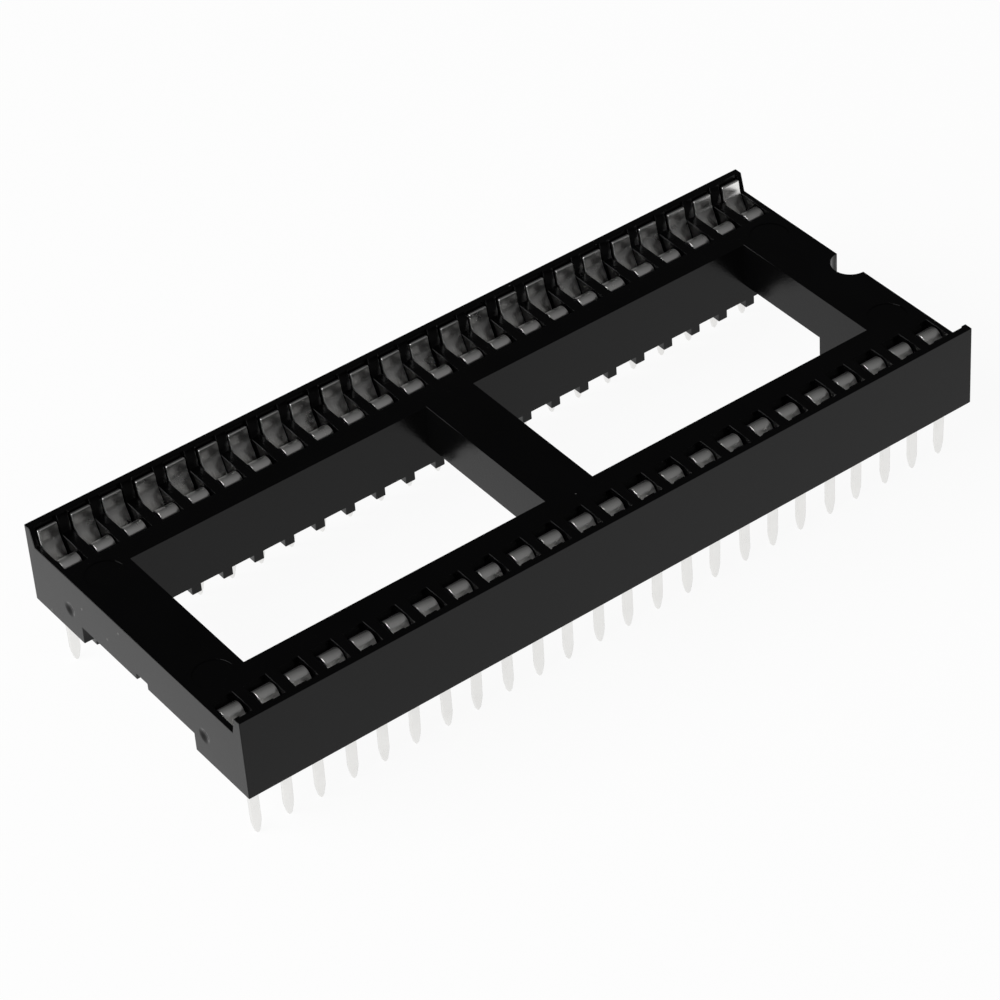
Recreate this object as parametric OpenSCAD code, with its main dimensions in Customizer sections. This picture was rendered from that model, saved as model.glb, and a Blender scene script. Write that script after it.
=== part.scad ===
// Open-frame dual-in-line socket for shrink-pitch packages.
// A black moulded ladder housing holds two rows of stamped dual-leaf contacts.
// Millimetres, +Z up. The origin is the centre of the footprint on the seating plane,
// where the standoff ribs touch the board. +X runs along the rows, towards the notch.
// Contact 1 is at the +X end of the +Y row. Numbers run to the -X end of that row,
// then back along the -Y row, so the last contact faces the first one.

/* [Footprint] */
// Contacts in each of the two rows
row_count = 24; // [4:2:29]
// Distance between neighbouring contacts of a row
pitch = 1.778; // [1.75:0.001:2.54]
// Distance between the pin lines of the two rows
row_spacing = 15.24; // [12.7:0.01:22.86]

/* [Housing] */
// Total width of the housing across both rows
body_w = 17.78; // [17.6:0.01:18.2]
// Plastic beyond the last pitch at each end of the housing
end_extra = 0.0; // [0:0.1:2]
// Width of one row block, from the outer wall to the window
row_w = 4.22; // [4:0.01:5]
// Height of the deck, the face that the package sits over
deck_z = 4.0; // [3.9:0.05:5]
// Height of the lip along each outer wall above the deck
lip_h = 1.0; // [0.6:0.05:1.2]
// Thickness of the lip at its top edge
lip_top_t = 0.44; // [0.4:0.01:0.6]
// Thickness of the lip where it meets the deck
lip_base_t = 0.69; // [0.65:0.01:0.9]
// Length along the rows of each end bar
end_bar_l = 3.0; // [2:0.1:4]
// Length along the rows of the centre bar
mid_bar_l = 2.8; // [1.5:0.1:5]
// Height of the undersides of the bars above the board
bar_z = 1.45; // [0.8:0.05:2]
// Radius of the half-round notch that marks the first contact's end
notch_r = 1.0; // [0.5:0.05:1.5]

/* [Underside] */
// Height of the standoff ribs, from the board to the row blocks
standoff_h = 0.45; // [0.3:0.05:0.7]
// Length along the rows of each standoff rib
standoff_l = 0.55; // [0.4:0.05:0.8]
// Width across the row of each standoff rib
standoff_w = 1.2; // [0.6:0.1:1.6]
// Side of the square foot under each end bar
foot_s = 1.2; // [0.8:0.1:1.5]

/* [Contact slots] */
// Length along the rows of each slot
slot_l = 1.2; // [1.15:0.01:1.3]
// Height of the floor that each contact stands on
slot_floor_z = 1.3; // [1.2:0.05:1.5]
// Clearance between a contact and the walls of its slot
slot_gap = 0.08; // [0.04:0.01:0.1]

/* [Contacts] */
// Thickness of the sheet that the contacts are stamped from
sheet_t = 0.2; // [0.15:0.01:0.25]
// Width of the outer leaf
outer_leaf_w = 1.05; // [0.8:0.01:1.1]
// Width of the inner leaf and of its tab
inner_leaf_w = 0.98; // [0.7:0.01:1.05]
// Gap between the two leaves where they grip a package lead
grip_gap = 0.18; // [0.1:0.01:0.24]
// Height above the board of the point where the leaves grip
grip_z = 3.0; // [2.8:0.05:3.1]
// Outer half-width of the folded base of a contact
base_half = 0.46; // [0.4:0.01:0.5]
// Outer radius of the arched tab at the top of the inner leaf
tab_r = 0.5; // [0.45:0.01:0.52]
// Distance from the pin line to the middle of that arch
tab_u = 0.93; // [0.88:0.01:0.98]
// Angle above level at which the arch ends, on the window's side
tab_end_angle = 38; // [30:1:60]
// Depth of the top of the arch below the deck
tab_sink = 0.11; // [0.05:0.01:0.2]
// Depth of the outer leaf's end below the top of the lip
leaf_sink = 0.24; // [0.1:0.01:0.4]

/* [Pins] */
// Length of a pin below the seating plane
pin_l = 3.0; // [2.5:0.1:3.5]
// Width of a pin along the row
pin_w = 0.5; // [0.4:0.01:0.6]
// Thickness of a pin across the row
pin_t = 0.25; // [0.2:0.01:0.3]
// Width of a pin at its very end
pin_tip_w = 0.2; // [0.1:0.01:0.3]
// Length of the taper at the end of a pin
pin_taper_l = 0.8; // [0.4:0.1:1.2]

/* [Moulding marks] */
// Radius of the ejector marks on the deck
ejector_r = 1.0; // [0.6:0.05:1.2]
// Depth of the ejector marks
ejector_d = 0.04; // [0.02:0.01:0.1]
// Radius of the two dimples in the end face away from the notch
dimple_r = 0.45; // [0.3:0.05:0.6]
// Depth of those dimples
dimple_d = 0.12; // [0.05:0.01:0.2]
// Width of the gate relief in that end face
gate_w = 0.9; // [0.5:0.1:1.5]
// Height of the gate relief
gate_h = 0.35; // [0.2:0.05:0.6]

/* [Hidden] */
row_y = row_spacing / 2;
half_w = body_w / 2;
body_l = row_count * pitch + 2 * end_extra;
half_l = body_l / 2;
window_y = half_w - row_w;
lip_top_z = deck_z + lip_h;
bar_w = 2 * window_y + 0.02;
// Clearance round each pin where it leaves the housing
pin_gap = 0.06;
// Overshoot of a cut beyond the face it opens
cut = 0.5;
// Half of the sheet thickness, used on both sides of a strip's centre line
half_t = sheet_t / 2;
// Radius of the folds at the base of a contact, on the centre line
fold_r = 0.25;
// Height of the centre line of the folded base
base_z = slot_floor_z + half_t;
// Distance from the pin line to each leaf's centre line at the base
leaf_u = base_half - half_t;
// Distance from the pin line to each leaf's centre line at the grip
grip_u = grip_gap / 2 + half_t;
// Height of the outer leaf's end, and of the bend below it
leaf_top_z = lip_top_z - leaf_sink;
leaf_bend_z = leaf_top_z - 0.67;
// Back of the pocket that the outer leaf leans into, measured from the pin line
pocket_u = half_w - row_y - 0.36;
// Outer leaf's centre line at its end
leaf_top_u = pocket_u - half_t - slot_gap / 2;
leaf_bend_u = leaf_top_u - 0.12;
// Height of the middle of the tab's arch, and how far the tab reaches from the pin line
tab_mid_z = deck_z - tab_sink - tab_r;
tab_end_u = tab_u + tab_r * cos(tab_end_angle);
// Floor of the recess that the tab springs over
recess_z = tab_mid_z - 0.2;
// Half-width of a slot's shaft across the row
shaft_u = base_half + slot_gap;
pin_top_z = base_z;

function number_text(n) = n < 10 ? str("0", n) : str(n);
contact_names = [for (n = [1 : 2 * row_count]) str("contact_", number_text(n))];

// Points along an arc. Angles are in degrees, and both ends are included.
function arc_path(centre, r, from, to, steps) =
    [for (i = [0 : steps])
        centre + r * [cos(from + (to - from) * i / steps), sin(from + (to - from) * i / steps)]];

// Unit normal of a path at point i, the mean of its two neighbouring directions.
function path_normal(path, i) =
    let (
        before = path[max(i - 1, 0)],
        after = path[min(i + 1, len(path) - 1)],
        along = (after - before) / norm(after - before)
    ) [-along[1], along[0]];

// Outline of a strip of sheet that follows a centre line.
function strip_outline(path) = concat(
    [for (i = [0 : len(path) - 1]) path[i] + half_t * path_normal(path, i)],
    [for (i = [len(path) - 1 : -1 : 0]) path[i] - half_t * path_normal(path, i)]
);

// Centre line of the outer leaf, from the middle of the base to the leaf's end.
outer_leaf_path = concat(
    [[0, base_z]],
    arc_path([leaf_u - fold_r, base_z + fold_r], fold_r, -90, 0, 2),
    [[leaf_u - 0.03, 2.2], [grip_u + 0.06, grip_z - 0.3], [grip_u, grip_z],
     [grip_u + 0.06, grip_z + 0.28], [leaf_bend_u, leaf_bend_z], [leaf_top_u, leaf_top_z]]
);

// Centre line of the inner leaf, measured away from the pin line on the inner side.
inner_leaf_path = concat(
    [[0, base_z]],
    arc_path([leaf_u - fold_r, base_z + fold_r], fold_r, -90, 0, 2),
    [[leaf_u - 0.03, 2.2], [grip_u + 0.05, grip_z - 0.32], [grip_u, grip_z - 0.08]],
    arc_path([tab_u, tab_mid_z], tab_r - half_t, 150, tab_end_angle, 5)
);

// Section of one row block, as distance from the middle plane and height.
row_section = [
    [window_y, standoff_h], [half_w, standoff_h], [half_w, lip_top_z],
    [half_w - lip_top_t, lip_top_z], [half_w - lip_base_t, deck_z], [window_y, deck_z]
];

// Section of one contact slot, as distance outwards from the pin line and height.
slot_section = [
    [-shaft_u, slot_floor_z], [shaft_u, slot_floor_z], [shaft_u, grip_z + 0.2],
    [pocket_u, leaf_bend_z - 0.25], [pocket_u, lip_top_z + cut],
    [-shaft_u, lip_top_z + cut], [-shaft_u, deck_z + cut],
    [-tab_end_u - slot_gap, deck_z + cut], [-tab_end_u - slot_gap, recess_z],
    [-shaft_u, recess_z]
];

// Outline of a pin, as distance along the row and height.
pin_outline = [
    [-pin_w / 2, pin_top_z], [pin_w / 2, pin_top_z], [pin_w / 2, -pin_l + pin_taper_l],
    [pin_tip_w / 2, -pin_l], [-pin_tip_w / 2, -pin_l], [-pin_w / 2, -pin_l + pin_taper_l]
];

// Places a section drawn as (distance across, height) so that it runs along X.
module along_row(length) {
    rotate([90, 0, 90]) translate([0, 0, -length / 2]) linear_extrude(length) children();
}

// Position along X of slot i of a row, counted from the -X end.
function slot_x(i) = (i - (row_count - 1) / 2) * pitch;

module row_block() {
    along_row(body_l) polygon(row_section);
}

module standoffs() {
    for (i = [0 : row_count - 1])
        translate([slot_x(i) - standoff_l / 2, window_y, 0])
            cube([standoff_l, standoff_w, standoff_h + 0.01]);
}

module slots() {
    for (i = [0 : row_count - 1]) translate([slot_x(i), row_y, 0]) {
        along_row(slot_l) polygon(slot_section);
        translate([-pin_w / 2 - pin_gap, -pin_t / 2 - pin_gap, standoff_h - cut])
            cube([pin_w + 2 * pin_gap, pin_t + 2 * pin_gap, slot_floor_z - standoff_h + 2 * cut]);
    }
}

// A bar across the window, between two places along X.
module bar(from_x, length) {
    translate([from_x, -bar_w / 2, bar_z]) cube([length, bar_w, deck_z - bar_z]);
}

// The foot under an end bar stands beside the middle plane, at the bar's inner edge.
module end_foot() {
    translate([half_l - end_bar_l, -notch_r - 0.1 - foot_s, 0])
        cube([foot_s, foot_s, bar_z + 0.01]);
}

module ejector_marks() {
    for (sx = [-1, 1]) for (sy = [-1, 1])
        translate([sx * (half_l - end_bar_l / 2), sy * (window_y - 0.2), deck_z - ejector_d])
            cylinder(h = cut, r = ejector_r, $fn = 24);
}

module end_face_marks() {
    for (sy = [-1, 1])
        translate([-half_l - cut, sy * (half_w - row_w * 0.78), (standoff_h + deck_z) * 0.44])
            rotate([0, 90, 0]) cylinder(h = cut + dimple_d, r = dimple_r, $fn = 16);
    translate([-half_l - cut, -gate_w, bar_z - cut]) cube([cut + gate_h, gate_w, cut + gate_h]);
}

module housing() {
    color("dimgray") difference() {
        union() {
            for (side = [0, 1]) mirror([0, side, 0]) {
                row_block();
                standoffs();
            }
            bar(-half_l, end_bar_l);
            bar(half_l - end_bar_l, end_bar_l);
            bar(-mid_bar_l / 2, mid_bar_l);
            end_foot();
            rotate([0, 0, 180]) end_foot();
        }
        for (side = [0, 1]) mirror([0, side, 0]) slots();
        translate([half_l, 0, 0]) cylinder(h = deck_z + cut, r = notch_r, $fn = 40);
        ejector_marks();
        end_face_marks();
    }
}

// One contact, at the pin line, with its outer leaf on the +Y side.
module contact() {
    color("silver") union() {
        along_row(outer_leaf_w) polygon(strip_outline(outer_leaf_path));
        mirror([0, 1, 0]) along_row(inner_leaf_w) polygon(strip_outline(inner_leaf_path));
        translate([0, pin_t / 2, 0]) rotate([90, 0, 0]) linear_extrude(pin_t) polygon(pin_outline);
    }
}

// Contact n of the socket: the +Y row first, from +X to -X, then the -Y row back.
module contact_at(n) {
    if (n <= row_count) translate([slot_x(row_count - n), row_y, 0]) contact();
    else translate([slot_x(n - row_count - 1), -row_y, 0]) rotate([0, 0, 180]) contact();
}

housing();
for (n = [1 : 2 * row_count])
    contact_at(n);
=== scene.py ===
"""Looks of an open-frame shrink-pitch IC socket: a black moulded ladder and 48 tinned contacts.

Metres, in the frame of the CAD model: +X runs along the rows towards the notch, +Z is up, and
the seating plane on the board is z = 0. Positions come from the frame's own boxes.
"""

import logging
import math
from dataclasses import dataclass, field
from enum import Enum

import bmesh
import bpy
import numpy as np
from mathutils import Matrix, Vector


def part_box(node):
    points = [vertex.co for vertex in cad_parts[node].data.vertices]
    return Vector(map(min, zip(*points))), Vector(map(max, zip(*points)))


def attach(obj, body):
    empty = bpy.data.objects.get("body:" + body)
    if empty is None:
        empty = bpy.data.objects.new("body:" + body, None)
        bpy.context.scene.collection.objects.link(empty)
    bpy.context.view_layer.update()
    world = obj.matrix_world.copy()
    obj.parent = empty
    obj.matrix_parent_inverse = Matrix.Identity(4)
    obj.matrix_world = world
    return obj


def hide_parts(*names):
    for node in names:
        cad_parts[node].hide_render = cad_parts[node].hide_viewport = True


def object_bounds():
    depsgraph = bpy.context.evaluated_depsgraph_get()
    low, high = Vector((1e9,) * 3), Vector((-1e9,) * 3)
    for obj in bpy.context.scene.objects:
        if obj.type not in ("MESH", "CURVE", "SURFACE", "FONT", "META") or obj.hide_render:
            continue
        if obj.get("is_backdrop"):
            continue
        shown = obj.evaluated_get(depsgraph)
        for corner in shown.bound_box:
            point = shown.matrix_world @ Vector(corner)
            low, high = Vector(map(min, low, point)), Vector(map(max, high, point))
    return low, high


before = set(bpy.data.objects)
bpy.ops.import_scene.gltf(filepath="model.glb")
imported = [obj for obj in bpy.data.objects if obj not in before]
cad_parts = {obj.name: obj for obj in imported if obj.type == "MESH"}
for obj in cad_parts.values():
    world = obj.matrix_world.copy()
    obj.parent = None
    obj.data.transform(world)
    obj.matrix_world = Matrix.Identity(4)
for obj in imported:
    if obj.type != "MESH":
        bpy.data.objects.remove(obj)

LOG = logging.getLogger("socket")
MM = 0.001
SHARP_FROM = math.radians(50)

Colour = tuple[float, float, float, float]
Node = bpy.types.Node
Socket = bpy.types.NodeSocket
Tree = bpy.types.NodeTree


class Slot(Enum):
    """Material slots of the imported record."""

    MOULDING = "moulding"
    PLATING = "contact_plating"


class Row(Enum):
    """The two rows of contacts. The value is the side of the middle plane that a row is on."""

    PLUS_Y = 1
    MINUS_Y = -1


# ---------------------------------------------------------------- shared shader groups


def new_group(name: str, inputs: dict[str, float], outputs: dict[str, str]) -> Tree:
    """Make an empty shader group with named sockets.

    Args:
        name: Name of the group.
        inputs: Name and default of each float input.
        outputs: Name and socket type of each output.

    Returns:
        The group, holding only its input and output nodes.
    """
    group = bpy.data.node_groups.new(name, "ShaderNodeTree")
    for key, default in inputs.items():
        group.interface.new_socket(key, in_out="INPUT", socket_type="NodeSocketFloat").default_value = default
    for key, kind in outputs.items():
        group.interface.new_socket(key, in_out="OUTPUT", socket_type=kind)
    group.nodes.new("NodeGroupInput")
    group.nodes.new("NodeGroupOutput")
    return group


def add(tree: Tree, kind: str, **settings: object) -> Node:
    """Add a node of a kind and set the given properties on it."""
    node = tree.nodes.new(kind)
    for key, value in settings.items():
        setattr(node, key, value)
    return node


def math_node(tree: Tree, operation: str, a: object, b: object = 0.0, clamp: bool = False) -> Socket:
    """Add a Math node.

    Args:
        tree: Tree to add it to.
        operation: Blender's name of the operation.
        a: First value, a socket or a number.
        b: Second value, a socket or a number.
        clamp: Whether the result is held between 0 and 1.

    Returns:
        The result's socket.
    """
    node = add(tree, "ShaderNodeMath", operation=operation, use_clamp=clamp)
    for socket, value in zip(node.inputs, (a, b)):
        if isinstance(value, Socket):
            tree.links.new(value, socket)
        else:
            socket.default_value = value
    return node.outputs[0]


def group_node(tree: Tree, group: Tree, values: dict[str, float]) -> Node:
    """Add a shader group and set the given inputs on it."""
    node = add(tree, "ShaderNodeGroup", node_tree=group)
    for key, value in values.items():
        node.inputs[key].default_value = value
    return node


def tone_node(tree: Tree, share: Socket, low: Colour, high: Colour) -> Node:
    """Add a mix of two colours, from the low one at share 0 to the high one at share 1."""
    node = add(tree, "ShaderNodeMix", data_type="RGBA")
    node.inputs["A"].default_value = low
    node.inputs["B"].default_value = high
    tree.links.new(share, node.inputs["Factor"])
    return node


def bump_node(tree: Tree, height: Socket, strength: float, distance: float) -> Node:
    """Add a bump that follows a height."""
    node = add(tree, "ShaderNodeBump")
    node.inputs["Strength"].default_value = strength
    node.inputs["Distance"].default_value = distance
    tree.links.new(height, node.inputs["Height"])
    return node


def grain_group() -> Tree:
    """Surface grain: two scales of noise around a mean roughness, and a height for a bump.

    Roughness is the mean plus the spread times (coarse noise - 0.5). Height is the fine noise
    plus 0.33 times the coarse noise. Mottle is the coarse noise itself, from 0 to 1.

    Returns:
        The group, with inputs Coarse Scale, Fine Scale, Roughness and Spread.
    """
    group = new_group(
        "surface_grain",
        {"Coarse Scale": 300.0, "Fine Scale": 4000.0, "Roughness": 0.3, "Spread": 0.1},
        {"Roughness": "NodeSocketFloat", "Height": "NodeSocketFloat", "Mottle": "NodeSocketFloat"},
    )
    inside, outside = group.nodes["Group Input"], group.nodes["Group Output"]
    where = add(group, "ShaderNodeTexCoord")
    coarse = add(group, "ShaderNodeTexNoise")
    fine = add(group, "ShaderNodeTexNoise")
    for noise, socket, detail in ((coarse, "Coarse Scale", 3.0), (fine, "Fine Scale", 2.0)):
        group.links.new(where.outputs["Object"], noise.inputs["Vector"])
        group.links.new(inside.outputs[socket], noise.inputs["Scale"])
        noise.inputs["Detail"].default_value = detail
    centred = math_node(group, "SUBTRACT", coarse.outputs["Fac"], 0.5)
    swing = math_node(group, "MULTIPLY", centred, inside.outputs["Spread"])
    rough = math_node(group, "ADD", swing, inside.outputs["Roughness"], clamp=True)
    third = math_node(group, "MULTIPLY", coarse.outputs["Fac"], 0.33)
    height = math_node(group, "ADD", third, fine.outputs["Fac"])
    group.links.new(rough, outside.inputs["Roughness"])
    group.links.new(height, outside.inputs["Height"])
    group.links.new(coarse.outputs["Fac"], outside.inputs["Mottle"])
    return group


def speck_group() -> Tree:
    """Sparse specks of dust: the nearest cell centre within a small radius, in a few of the cells.

    Returns:
        The group, with inputs Scale, Radius and Share, and the output Specks from 0 to 1.
    """
    group = new_group(
        "dust_specks",
        {"Scale": 900.0, "Radius": 0.12, "Share": 0.05},
        {"Specks": "NodeSocketFloat"},
    )
    inside, outside = group.nodes["Group Input"], group.nodes["Group Output"]
    where = add(group, "ShaderNodeTexCoord")
    cells = add(group, "ShaderNodeTexVoronoi", feature="F1")
    group.links.new(where.outputs["Object"], cells.inputs["Vector"])
    group.links.new(inside.outputs["Scale"], cells.inputs["Scale"])
    split = add(group, "ShaderNodeSeparateColor")
    group.links.new(cells.outputs["Color"], split.inputs["Color"])
    near = math_node(group, "LESS_THAN", cells.outputs["Distance"], inside.outputs["Radius"])
    chosen = math_node(group, "LESS_THAN", split.outputs["Red"], inside.outputs["Share"])
    group.links.new(math_node(group, "MULTIPLY", near, chosen), outside.inputs["Specks"])
    return group


# ---------------------------------------------------------------- finishes


@dataclass(frozen=True)
class BlackMoulding:
    """Glass-filled black thermoplastic: nearly black, with a satin skin that mirrors at a slant."""

    dark: Colour = (0.0003, 0.0003, 0.0004, 1.0)
    light: Colour = (0.0012, 0.0012, 0.0013, 1.0)
    dust: Colour = (0.06, 0.06, 0.057, 1.0)
    roughness: float = 0.20
    roughness_spread: float = 0.06
    coarse_scale: float = 420.0
    fine_scale: float = 9000.0
    dust_scale: float = 1500.0
    dust_radius: float = 0.10
    dust_share: float = 0.02
    ior: float = 1.26
    bump: float = 0.26
    bump_height: float = 0.02 * MM

    def build(self, grain: Tree, specks: Tree) -> bpy.types.Material:
        """Build the material.

        Args:
            grain: The surface grain group.
            specks: The dust speck group.

        Returns:
            The material for the housing.
        """
        material = bpy.data.materials.new("black_moulding")
        material.use_nodes = True
        tree = material.node_tree
        shader = tree.nodes["Principled BSDF"]
        skin = group_node(tree, grain, {
            "Coarse Scale": self.coarse_scale, "Fine Scale": self.fine_scale,
            "Roughness": self.roughness, "Spread": self.roughness_spread,
        })
        dust = group_node(tree, specks, {
            "Scale": self.dust_scale, "Radius": self.dust_radius, "Share": self.dust_share,
        })
        tone = tone_node(tree, skin.outputs["Mottle"], self.dark, self.light)
        colour = tone_node(tree, dust.outputs["Specks"], self.dark, self.dust)
        tree.links.new(tone.outputs["Result"], colour.inputs["A"])
        bump = bump_node(tree, skin.outputs["Height"], self.bump, self.bump_height)
        tree.links.new(colour.outputs["Result"], shader.inputs["Base Color"])
        tree.links.new(skin.outputs["Roughness"], shader.inputs["Roughness"])
        tree.links.new(bump.outputs["Normal"], shader.inputs["Normal"])
        shader.inputs["IOR"].default_value = self.ior
        return material


@dataclass(frozen=True)
class TinPlate:
    """Bright tin over bronze: a pale metal with faint rolling lines and a cloudy sheen."""

    clean: Colour = (0.90, 0.895, 0.88, 1.0)
    dull: Colour = (0.80, 0.795, 0.78, 1.0)
    roughness: float = 0.29
    roughness_spread: float = 0.10
    coarse_scale: float = 1300.0
    fine_scale: float = 7000.0
    line_scale: float = 9000.0
    line_stretch: tuple[float, float, float] = (1.0, 0.06, 0.06)
    bump: float = 0.035
    bump_height: float = 0.01 * MM

    def build(self, grain: Tree) -> bpy.types.Material:
        """Build the material.

        Args:
            grain: The surface grain group.

        Returns:
            The material for the contacts.
        """
        material = bpy.data.materials.new("tin_plate")
        material.use_nodes = True
        tree = material.node_tree
        shader = tree.nodes["Principled BSDF"]
        skin = group_node(tree, grain, {
            "Coarse Scale": self.coarse_scale, "Fine Scale": self.fine_scale,
            "Roughness": self.roughness, "Spread": self.roughness_spread,
        })
        tone = tone_node(tree, skin.outputs["Mottle"], self.dull, self.clean)
        where = add(tree, "ShaderNodeTexCoord")
        stretch = add(tree, "ShaderNodeMapping")
        stretch.inputs["Scale"].default_value = self.line_stretch
        lines = add(tree, "ShaderNodeTexNoise")
        lines.inputs["Scale"].default_value = self.line_scale
        tree.links.new(where.outputs["Object"], stretch.inputs["Vector"])
        tree.links.new(stretch.outputs["Vector"], lines.inputs["Vector"])
        height = math_node(tree, "ADD", skin.outputs["Height"], lines.outputs["Fac"])
        bump = bump_node(tree, height, self.bump, self.bump_height)
        tree.links.new(tone.outputs["Result"], shader.inputs["Base Color"])
        tree.links.new(skin.outputs["Roughness"], shader.inputs["Roughness"])
        tree.links.new(bump.outputs["Normal"], shader.inputs["Normal"])
        shader.inputs["Metallic"].default_value = 1.0
        return material


# ---------------------------------------------------------------- mesh arithmetic


def smooth_path(keys: np.ndarray, per_span: int) -> np.ndarray:
    """Carry a smooth curve through key points.

    Each span is the Catmull-Rom cubic 0.5 (2 B + (C - A) t + (2 A - 5 B + 4 C - D) t^2 +
    (3 B - A - 3 C + D) t^3) of its four neighbouring keys, with the end keys repeated.

    Args:
        keys: Key points, one per row.
        per_span: Steps from one key to the next.

    Returns:
        Points along the curve, one per row, both ends included.
    """
    padded = np.vstack([keys[:1], keys, keys[-1:]])
    a, b, c, d = padded[:-3], padded[1:-2], padded[2:-1], padded[3:]
    t = (np.arange(per_span) / per_span)[None, :, None]
    a, b, c, d = (p[:, None, :] for p in (a, b, c, d))
    spans = 0.5 * (2 * b + (c - a) * t + (2 * a - 5 * b + 4 * c - d) * t**2 + (3 * b - a - 3 * c + d) * t**3)
    return np.vstack([spans.reshape(-1, keys.shape[1]), keys[-1:]])


def midpoint(a: tuple[float, float], b: tuple[float, float]) -> tuple[float, float]:
    """Find the point halfway between two points of a centre line."""
    return (a[0] + b[0]) / 2, (a[1] + b[1]) / 2


def path_lengths(path: np.ndarray) -> np.ndarray:
    """Share of a path's length at each of its points: the running sum of steps over the total."""
    run = np.concatenate([[0.0], np.cumsum(np.linalg.norm(np.diff(path, axis=0), axis=1))])
    return run / run[-1]


def rounded_section(corner: float, steps: int) -> tuple[np.ndarray, np.ndarray]:
    """Section of a strip as signs and offsets, so that its width and thickness can vary.

    The section is a rectangle with quarter-circle corners. A point is
    sign * (half size - corner) + corner * (cos a, sin a).

    Args:
        corner: Radius of the rounded corners.
        steps: Steps round each corner.

    Returns:
        Signs (m, 2) of the corner centres and offsets (m, 2) from them.
    """
    quarter = np.linspace(0.0, math.pi / 2, steps + 1)
    starts = np.array([0, 1, 2, 3]) * math.pi / 2
    angles = (starts[:, None] + quarter[None, :]).ravel()
    signs = np.repeat(np.array([[1, 1], [-1, 1], [-1, -1], [1, -1]], float), steps + 1, axis=0)
    return signs, corner * np.stack([np.cos(angles), np.sin(angles)], axis=1)


def tube_faces(rings: int, around: int, offset: int) -> list[tuple[int, ...]]:
    """Faces of a closed tube of rings, with an n-sided cap at each end.

    Args:
        rings: Number of rings along the tube.
        around: Number of points in each ring.
        offset: Index of the tube's first vertex.

    Returns:
        Vertex indices of each face.
    """
    i, j = np.meshgrid(np.arange(rings - 1), np.arange(around), indexing="ij")
    k = (j + 1) % around
    quads = np.stack([i * around + j, i * around + k, (i + 1) * around + k, (i + 1) * around + j], axis=-1)
    faces = [tuple(q) for q in (quads.reshape(-1, 4) + offset).tolist()]
    first = tuple(range(offset + around - 1, offset - 1, -1))
    last = tuple(range(offset + (rings - 1) * around, offset + rings * around))
    return [*faces, first, last]


@dataclass
class MeshParts:
    """Vertices and faces gathered from several swept shapes."""

    points: list[np.ndarray] = field(default_factory=list)
    faces: list[tuple[int, ...]] = field(default_factory=list)
    count: int = 0

    def add_tube(self, rings: np.ndarray) -> None:
        """Add a closed tube.

        Args:
            rings: Points of each ring, as (rings, around, 3).
        """
        number, around, _ = rings.shape
        self.points.append(rings.reshape(-1, 3))
        self.faces.extend(tube_faces(number, around, self.count))
        self.count += number * around

    def mesh(self, name: str, places: np.ndarray) -> bpy.types.Mesh:
        """Make a mesh of the gathered faces, with its normals facing outwards.

        Args:
            name: Name of the mesh.
            places: Where each gathered vertex stands.

        Returns:
            The mesh, shaded smooth across its rounded edges.
        """
        mesh = bpy.data.meshes.new(name)
        mesh.from_pydata(places.tolist(), [], self.faces)
        shell = bmesh.new()
        shell.from_mesh(mesh)
        bmesh.ops.recalc_face_normals(shell, faces=shell.faces)
        shell.to_mesh(mesh)
        shell.free()
        mesh.shade_smooth()
        mesh.set_sharp_from_angle(angle=SHARP_FROM)
        return mesh


def put_in_scene(mesh: bpy.types.Mesh, name: str, material: bpy.types.Material) -> bpy.types.Object:
    """Make an object of a mesh at the origin, with one material, and link it to the scene."""
    piece = bpy.data.objects.new(name, mesh)
    mesh.materials.clear()
    mesh.materials.append(material)
    bpy.context.scene.collection.objects.link(piece)
    return piece


# ---------------------------------------------------------------- sub-assemblies


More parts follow.
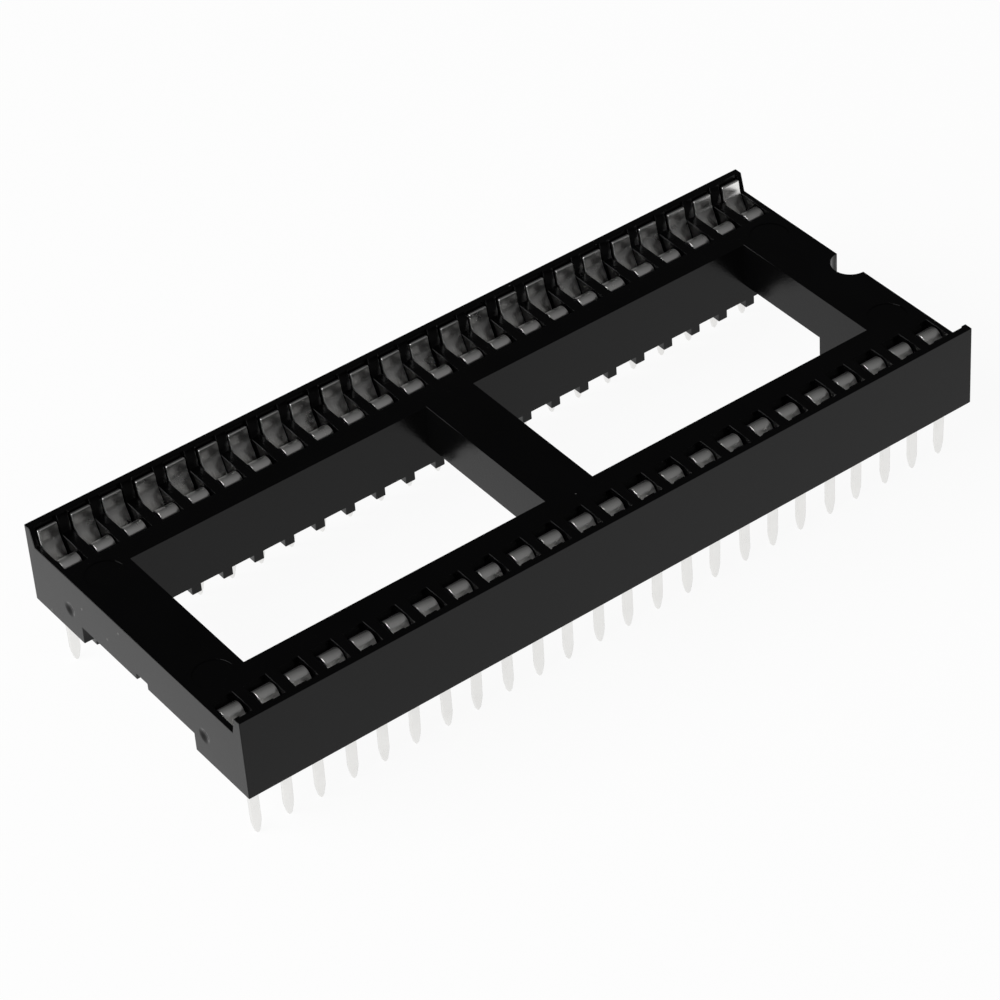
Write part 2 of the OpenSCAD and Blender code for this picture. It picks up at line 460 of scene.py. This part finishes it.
@dataclass
class Housing:
    """The moulded ladder: the CAD solid's own surface with its edges softened as a mould leaves them."""

    material: bpy.types.Material
    node: str = "housing"
    merge_within: float = 1e-7
    flat_within: float = math.radians(0.5)
    edge_radius: float = 0.035 * MM
    edge_steps: int = 2
    shortest_edge: float = 0.30 * MM
    bend_from: float = math.radians(25)
    recess_more: float = 0.25 * MM
    recess_search: float = 0.20 * MM
    dimple_depth: float = 0.10 * MM
    dimple_rings: int = 5
    dimple_under: tuple[float, float] = (0.05 * MM, 0.20 * MM)
    dimple_aside: tuple[float, float] = (2.0 * MM, 9.0 * MM)
    dimple_heights: tuple[float, float] = (1.0 * MM, 3.0 * MM)

    def corner_edges(self, shell: bmesh.types.BMesh) -> list[bmesh.types.BMEdge]:
        """Find the outward edges that bend by more than the least angle and can carry the radius."""
        return [
            e for e in shell.edges
            if len(e.link_faces) == 2 and e.is_convex and e.calc_face_angle() > self.bend_from
            and e.calc_length() > self.shortest_edge
        ]

    def soften_corners(self, shell: bmesh.types.BMesh) -> None:
        """Round the corner edges to the mould's radius, without holding it back at their neighbours."""
        bmesh.ops.bevel(
            shell, geom=self.corner_edges(shell), offset=self.edge_radius, offset_type="OFFSET",
            segments=self.edge_steps, profile=0.5, affect="EDGES", clamp_overlap=False,
        )

    def lengthen_recesses(self, shell: bmesh.types.BMesh) -> None:
        """Move the recesses' end walls towards the window, so that each tab shows down to its end.

        Those walls are the only corners of the housing that stand just past a tab's end.
        """
        low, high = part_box("contact_01")
        tab_end = min(abs(low.y), abs(high.y))
        for vert in shell.verts:
            if tab_end - self.recess_search < abs(vert.co.y) < tab_end:
                vert.co.y -= math.copysign(self.recess_more, vert.co.y)

    def dimple_floors(self, shell: bmesh.types.BMesh) -> list[bmesh.types.BMVert]:
        """Find the floors of the two dimples in the end face away from the notch.

        Args:
            shell: The housing's mesh.

        Returns:
            The vertices that lie just under that face, well aside of the middle and at the
            dimples' height.
        """
        end_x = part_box(self.node)[0].x
        zone = (self.dimple_under, self.dimple_aside, self.dimple_heights)
        return [
            v for v in shell.verts
            if all(low < at < high for at, (low, high) in zip((v.co.x - end_x, abs(v.co.y), v.co.z), zone))
        ]

    def dish_dimples(self, shell: bmesh.types.BMesh) -> None:
        """Turn the two dimples into shallow dishes.

        Each round cut is filled level, and then inset ring by ring. At share s of the radius
        the dish is deep by half the depth times (1 + cos(pi s)).
        """
        bmesh.ops.delete(shell, geom=self.dimple_floors(shell), context="VERTS")
        rims = [e for e in shell.edges if e.is_boundary]
        filled = []
        for row in Row:
            rim = [e for e in rims if e.verts[0].co.y * row.value > 0]
            filled += bmesh.ops.contextual_create(shell, geom=rim)["faces"]
        shares = np.linspace(1.0, 0.0, self.dimple_rings + 1)
        depths = self.dimple_depth / 2 * (1 + np.cos(math.pi * shares))
        for face in filled:
            if face.normal.x > 0:
                face.normal_flip()
            ring = (face.calc_area() / math.pi) ** 0.5 / (self.dimple_rings + 0.5)
            for deeper in np.diff(depths):
                bmesh.ops.inset_individual(shell, faces=[face], thickness=ring, depth=-float(deeper))

    def dressed_mesh(self) -> bpy.types.Mesh:
        """Copy the CAD mesh, join its loose triangles, and round its corners.

        The seams between coplanar triangles are dissolved first, so that only real edges are
        left to round.

        Returns:
            The mesh, smooth over its rounded corners and sharp at the rest.
        """
        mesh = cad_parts[self.node].data.copy()
        mesh.name = "housing_moulding"
        shell = bmesh.new()
        shell.from_mesh(mesh)
        bmesh.ops.remove_doubles(shell, verts=shell.verts, dist=self.merge_within)
        bmesh.ops.dissolve_limit(shell, angle_limit=self.flat_within, verts=shell.verts, edges=shell.edges)
        self.lengthen_recesses(shell)
        self.dish_dimples(shell)
        self.soften_corners(shell)
        for face in shell.faces:
            face.smooth = True
        shell.to_mesh(mesh)
        shell.free()
        mesh.set_sharp_from_angle(angle=SHARP_FROM)
        return mesh

    def build(self) -> bpy.types.Object:
        """Make the visible housing.

        Returns:
            The piece that stands for the CAD housing.
        """
        piece = put_in_scene(self.dressed_mesh(), "housing_moulding", self.material)
        even = piece.modifiers.new("flat_faces_first", "WEIGHTED_NORMAL")
        even.mode = "FACE_AREA"
        even.weight = 100
        even.keep_sharp = True
        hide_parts(self.node)
        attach(piece, "root")
        return piece


@dataclass
class ContactShape:
    """One stamped contact in its own frame: x along the row, u outwards from the pin line, z up."""

    sheet: float = 0.20 * MM
    outer_width: float = 1.05 * MM
    inner_width: float = 1.00 * MM
    width_eases: tuple[float, float] = (0.42, 0.54)
    corner: float = 0.020 * MM
    corner_steps: int = 2
    key_steps: int = 3
    end_round: float = 0.06 * MM
    end_rings: int = 3
    base_z: float = 1.40 * MM
    base_reach: float = 0.36 * MM
    fold: float = 0.25 * MM
    waist: tuple[float, float] = (0.33 * MM, 2.20 * MM)
    grip: tuple[float, float] = (0.19 * MM, 3.00 * MM)
    throat: tuple[float, float] = (0.25 * MM, 3.28 * MM)
    bend: tuple[float, float] = (0.65 * MM, 4.09 * MM)
    leaf_end: tuple[float, float] = (0.77 * MM, 4.76 * MM)
    inner_leaf: tuple[tuple[float, float], ...] = (
        (0.24 * MM, 2.68 * MM), (0.19 * MM, 2.92 * MM), (0.35 * MM, 3.20 * MM),
    )
    arch: tuple[float, float] = (0.96 * MM, 3.42 * MM)
    arch_radius: float = 0.40 * MM
    arch_from: float = math.radians(150)
    arch_to: float = math.radians(29)
    arch_keys: int = 6
    pin_size: tuple[float, float] = (0.50 * MM, 0.25 * MM)
    pin_corner: float = 0.044 * MM
    pin_tip: float = 0.20 * MM
    pin_taper: float = 0.80 * MM
    pin_rings_down: int = 9
    pin_curve: float = 1.3
    pin_nose: float = 0.7
    pin_thinning: float = 0.35
    pin_end_z: float = -3.00 * MM

    def centre_line(self) -> np.ndarray:
        """Centre line of the strip, from the outer leaf's end round the base to the tab's end.

        The base is folded up on both sides by eighths of a circle. The inner leaf ends in a
        tab, an arc of a circle over the window's side of the slot.

        Returns:
            Points (u, z) on a smooth curve.
        """
        reach, base, fold = self.base_reach, self.base_z, self.fold
        slant = fold * (1 - math.cos(math.radians(45)))
        side = [self.waist, (reach, base + fold), (reach - slant, base + slant), (reach - fold, base)]
        outer = [
            self.leaf_end, midpoint(self.leaf_end, self.bend),
            self.bend, midpoint(self.bend, self.throat),
            self.throat, self.grip, *side,
        ]
        inner = [(-u, z) for u, z in (*reversed(side), *self.inner_leaf)]
        turn = np.linspace(self.arch_from, self.arch_to, self.arch_keys)
        arch = np.stack([-np.cos(turn), np.sin(turn)], axis=1) * self.arch_radius
        arch += np.array([-self.arch[0], self.arch[1]])
        return smooth_path(np.vstack([outer, inner, arch]), self.key_steps)

    def strip_rings(self, path: np.ndarray) -> np.ndarray:
        """Rings of the folded strip: its section carried along the path, square to it.

        The width eases from the outer leaf's to the inner leaf's over the base, as a
        smoothstep of the share of the length. Each end is rounded over a few rings: at angle a
        the ring stands back by r (1 - sin a), and it is pinched by r (1 - cos a).

        Args:
            path: Centre line points (u, z).

        Returns:
            Points (rings, around, 3).
        """
        along = np.gradient(path, axis=0)
        along /= np.linalg.norm(along, axis=1)[:, None]
        across = np.stack([-along[:, 1], along[:, 0]], axis=1)
        start, stop = self.width_eases
        share = np.clip((path_lengths(path) - start) / (stop - start), 0.0, 1.0)
        ease = share * share * (3 - 2 * share)
        half_width = (self.outer_width * (1 - ease) + self.inner_width * ease) / 2
        half_sheet = np.full(len(path), self.sheet / 2)
        turn = np.linspace(math.pi / 2, 0.0, self.end_rings + 1)[:-1]
        back, pinch = self.end_round * (1 - np.sin(turn)), self.end_round * (1 - np.cos(turn))
        path = np.vstack([
            path[0] + along[0] * back[:, None], path[1:-1], path[-1] - along[-1] * back[::-1, None],
        ])
        first, last = (np.repeat(across[[i]], self.end_rings, 0) for i in (0, -1))
        across = np.vstack([first, across[1:-1], last])
        half_width, half_sheet = (
            np.concatenate([half[0] - pinch, half[1:-1], half[-1] - pinch[::-1]])[:, None]
            for half in (half_width, half_sheet)
        )
        signs, offsets = rounded_section(self.corner, self.corner_steps)
        x = signs[None, :, 0] * (half_width - self.corner) + offsets[None, :, 0]
        n = signs[None, :, 1] * (half_sheet - self.corner) + offsets[None, :, 1]
        u = path[:, None, 0] + n * across[:, None, 0]
        z = path[:, None, 1] + n * across[:, None, 1]
        return np.stack([x, u, z], axis=-1)

    def pin_rings(self) -> np.ndarray:
        """Rings of the pin: a blade that narrows to a rounded point along its last stretch.

        At share s of the taper the width is w - (w - tip) s^1.3 and the thickness is
        t (1 - 0.35 s^2), and the last ring is narrowed once more to round the point.

        Returns:
            Points (rings, around, 3).
        """
        width, thick = self.pin_size
        taper = np.linspace(0.0, 1.0, self.pin_rings_down)
        z = np.concatenate([[self.base_z], self.pin_end_z + self.pin_taper * (1 - taper)])
        narrowed = (width - (width - self.pin_tip) * taper**self.pin_curve) / 2
        narrowed[-1] *= self.pin_nose
        half = np.concatenate([[width / 2], narrowed])
        slim = np.concatenate([[thick / 2], thick / 2 * (1 - self.pin_thinning * taper**2)])
        signs, offsets = rounded_section(self.pin_corner, self.corner_steps)
        x = signs[None, :, 0] * (half[:, None] - self.pin_corner) + offsets[None, :, 0]
        u = signs[None, :, 1] * (slim[:, None] - self.pin_corner) + offsets[None, :, 1]
        return np.stack([x, u, np.broadcast_to(z[:, None], x.shape)], axis=-1)

    def parts(self) -> MeshParts:
        """Sweep the strip and the pin of one contact."""
        gathered = MeshParts()
        gathered.add_tube(self.strip_rings(self.centre_line()))
        gathered.add_tube(self.pin_rings())
        return gathered


@dataclass
class ContactRows:
    """All the contacts, each over the CAD contact that it stands for."""

    material: bpy.types.Material
    shape: ContactShape = field(default_factory=ContactShape)
    pitch: float = 1.778 * MM
    pin_line: float = 7.62 * MM
    leaf_stray: float = 0.012 * MM
    pin_stray: float = 0.048 * MM
    pin_stray_across: float = 0.024 * MM
    stray_steps: tuple[float, float, float] = (2.4, 5.1, 3.7)
    strip_shift: float = 0.02 * MM
    pair_shift: float = 0.035 * MM

    def waver(self, number: int, index: int) -> float:
        """Give a value from -1 to 1 that doesn't repeat along a row: sin(step * number + index)."""
        return math.sin(self.stray_steps[index] * number + index)

    def place(self, points: np.ndarray, node: str) -> np.ndarray:
        """Place one contact's points over its CAD node, with the slight spread of real stampings.

        The contacts are stamped in pairs, so every second strip stands a little further along
        the row. The pin also leans both ways and the leaves lean along the row, by up to the
        stray distances. A lean grows with height above the base, and with depth below it.

        Args:
            points: Points in the contact's own frame.
            node: Name of the CAD node.

        Returns:
            Points in the row's frame.
        """
        low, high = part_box(node)
        row = Row.PLUS_Y if low.y > 0 else Row.MINUS_Y
        number = int(node.rsplit("_", 1)[1])
        base, top, tip = self.shape.base_z, self.shape.leaf_end[1], self.shape.pin_end_z
        placed = points.copy()
        below = np.clip((base - placed[:, 2]) / (base - tip), 0, 1)
        above = np.clip((placed[:, 2] - base) / (top - base), 0, 1)
        placed[:, 0] += self.pin_stray * self.waver(number, 0) * below
        placed[:, 0] += self.leaf_stray * self.waver(number, 1) * above
        placed[:, 1] += self.pin_stray_across * self.waver(number, 2) * below
        placed[:, :2] *= row.value
        middle = (low.x + high.x) / 2
        second = math.floor(middle / self.pitch) % 2 == 1
        strip = placed[:, 2] > base - self.shape.sheet
        shift = self.strip_shift + (self.pair_shift if second else -self.pair_shift)
        placed[:, 0] += middle + strip * shift
        placed[:, 1] += row.value * self.pin_line
        return placed

    def build(self) -> list[bpy.types.Object]:
        """Make every contact.

        Returns:
            The pieces, in the order of the contacts' numbers.
        """
        gathered = self.shape.parts()
        local = np.vstack(gathered.points)
        pieces = []
        for node in sorted(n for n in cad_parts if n.startswith("contact_")):
            name = node.replace("contact", "stamped_contact")
            mesh = gathered.mesh(name, self.place(local, node))
            piece = put_in_scene(mesh, name, self.material)
            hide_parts(node)
            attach(piece, "root")
            pieces.append(piece)
        return pieces


# ---------------------------------------------------------------- studio


@dataclass
class ViewCamera:
    """A long-lens camera above the near left corner, with a slight roll."""

    azimuth: float = -34.473
    elevation: float = 39.247
    roll: float = -4.220
    distance: float = 189.25 * MM
    target: tuple[float, float, float] = (0.0, 0.0, 2.47 * MM)
    sensor: float = 36.0
    lens: float = 143.29
    shift: tuple[float, float] = (-0.01019, -0.03426)

    def build(self) -> bpy.types.Object:
        """Make the camera and make it the scene's.

        The camera sits at target + distance * back, where back points from the target at the
        azimuth and elevation. Its right and up axes are turned by the roll.

        Returns:
            The camera object.
        """
        azimuth, elevation, roll = (math.radians(v) for v in (self.azimuth, self.elevation, self.roll))
        back = Vector((
            math.sin(azimuth) * math.cos(elevation),
            -math.cos(azimuth) * math.cos(elevation),
            math.sin(elevation),
        ))
        level = Vector((0, 0, 1)).cross(back).normalized()
        rise = back.cross(level)
        right = math.cos(roll) * level + math.sin(roll) * rise
        up = back.cross(right)
        data = bpy.data.cameras.new("view_camera")
        data.sensor_width, data.lens = self.sensor, self.lens
        data.shift_x, data.shift_y = self.shift
        data.clip_start, data.clip_end = 1 * MM, 10.0
        camera = bpy.data.objects.new("view_camera", data)
        camera.matrix_world = Matrix.Translation(Vector(self.target) + back * self.distance) @ Matrix(
            (right, up, back)
        ).transposed().to_4x4()
        bpy.context.scene.collection.objects.link(camera)
        bpy.context.scene.camera = camera
        return camera


@dataclass(frozen=True)
class SoftBox:
    """A square area lamp aimed at the middle of the socket."""

    name: str
    place: tuple[float, float, float]
    side: float
    power: float

    def build(self) -> bpy.types.Object:
        """Make the lamp, turned towards the origin."""
        data = bpy.data.lights.new(self.name, "AREA")
        data.energy, data.size = self.power, self.side
        lamp = bpy.data.objects.new(self.name, data)
        lamp.location = self.place
        lamp.rotation_mode = "QUATERNION"
        lamp.rotation_quaternion = Vector(self.place).to_track_quat("Z", "Y")
        bpy.context.scene.collection.objects.link(lamp)
        return lamp


@dataclass
class Studio:
    """Pale floor under the pins, a soft lamp, and a dark surround with a soft glow from the front."""

    floor_z: float
    floor_half: float = 3.0
    floor_white: float = 0.86
    seen_white: float = 0.94
    glow_from: tuple[float, float, float] = (0.25, -0.62, 0.74)
    glow_ramp: tuple[tuple[float, float], tuple[float, float]] = ((0.2, 0.065), (0.95, 0.157))
    low_dim: tuple[tuple[float, float], tuple[float, float]] = ((0.10, 0.30), (0.48, 1.0))
    lamp: SoftBox = SoftBox("left_box", (-0.78, 0.10, 0.45), 0.90, 14.5)

    def floor_material(self) -> bpy.types.Material:
        """Build the floor's finish.

        It is a pale diffuse surface. Seen by the camera, in a gloss or through glass, it is
        mixed with a white glow, so that it looks like white paper that keeps a soft shadow.

        Returns:
            The material.
        """
        material = bpy.data.materials.new("pale_floor")
        material.use_nodes = True
        tree = material.node_tree
        tree.nodes.remove(tree.nodes["Principled BSDF"])
        paper = add(tree, "ShaderNodeBsdfDiffuse")
        paper.inputs["Color"].default_value = (self.floor_white,) * 3 + (1.0,)
        glow = add(tree, "ShaderNodeEmission")
        glow.inputs["Color"].default_value = (1.0, 1.0, 1.0, 1.0)
        rays = add(tree, "ShaderNodeLightPath")
        seen = math_node(tree, "MAXIMUM", rays.outputs["Is Camera Ray"], rays.outputs["Is Glossy Ray"])
        seen = math_node(tree, "MAXIMUM", seen, rays.outputs["Is Transmission Ray"])
        share = math_node(tree, "MULTIPLY", seen, self.seen_white)
        mix = add(tree, "ShaderNodeMixShader")
        tree.links.new(share, mix.inputs["Fac"])
        tree.links.new(paper.outputs[0], mix.inputs[1])
        tree.links.new(glow.outputs[0], mix.inputs[2])
        tree.links.new(mix.outputs[0], tree.nodes["Material Output"].inputs["Surface"])
        return material

    def build_floor(self) -> bpy.types.Object:
        """Make the floor under the tips of the pins."""
        half, z = self.floor_half, self.floor_z
        mesh = bpy.data.meshes.new("floor")
        rim = [(-half, -half, z), (half, -half, z), (half, half, z), (-half, half, z)]
        mesh.from_pydata(rim, [], [(0, 1, 2, 3)])
        floor = put_in_scene(mesh, "floor", self.floor_material())
        floor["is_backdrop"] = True
        return floor

    def build_world(self) -> None:
        """Make the surround: white to the camera, and otherwise dark with a soft glow from the front.

        The glow is a ramp of the dot product of a ray's direction and the glow's direction,
        times a ramp of the direction's height that dims it towards the horizon.
        """
        world = bpy.data.worlds.new("surround")
        bpy.context.scene.world = world
        world.use_nodes = True
        tree = world.node_tree
        where = add(tree, "ShaderNodeTexCoord")
        facing = add(tree, "ShaderNodeVectorMath", operation="DOT_PRODUCT")
        facing.inputs[1].default_value = Vector(self.glow_from).normalized()
        tree.links.new(where.outputs["Generated"], facing.inputs[0])
        split = add(tree, "ShaderNodeSeparateXYZ")
        tree.links.new(where.outputs["Generated"], split.inputs["Vector"])
        glow = self.ramp(tree, self.glow_ramp, facing.outputs["Value"])
        dimmed = self.ramp(tree, self.low_dim, split.outputs["Z"])
        level = math_node(tree, "MULTIPLY", glow, dimmed)
        rays = add(tree, "ShaderNodeLightPath")
        level = math_node(tree, "MAXIMUM", level, rays.outputs["Is Camera Ray"])
        tree.links.new(level, tree.nodes["Background"].inputs["Color"])

    def ramp(self, tree: Tree, stops: tuple[tuple[float, float], ...], value: Socket) -> Socket:
        """Add a ramp of two grey levels over a value, and give its result's socket."""
        ramp = add(tree, "ShaderNodeValToRGB")
        for stop, (position, level) in zip(ramp.color_ramp.elements, stops):
            stop.position, stop.color = position, (level, level, level, 1.0)
        tree.links.new(value, ramp.inputs["Fac"])
        return ramp.outputs["Color"]

    def build(self) -> None:
        """Make the floor, the surround and the lamp."""
        self.build_floor()
        self.build_world()
        self.lamp.build()
        bpy.context.scene.view_settings.view_transform = "Standard"


def corners(box: tuple[Vector, Vector]) -> list[list[float]]:
    """Turn a box's two corners into plain lists of numbers."""
    return [list(corner) for corner in box]


def main() -> None:
    """Build the socket and its studio, and report each piece."""
    logging.basicConfig(level=logging.INFO, format="%(name)s: %(message)s")
    cad_box = corners(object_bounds())
    grain, specks = grain_group(), speck_group()
    ViewCamera().build()
    Studio(floor_z=cad_box[0][2]).build()
    housing = Housing(BlackMoulding().build(grain, specks)).build()
    LOG.info("%s: %d faces", housing.name, len(housing.data.polygons))
    contacts = ContactRows(TinPlate().build(grain)).build()
    LOG.info("%d contacts of %d faces each", len(contacts), len(contacts[0].data.polygons))


if __name__ == "__main__":
    main()
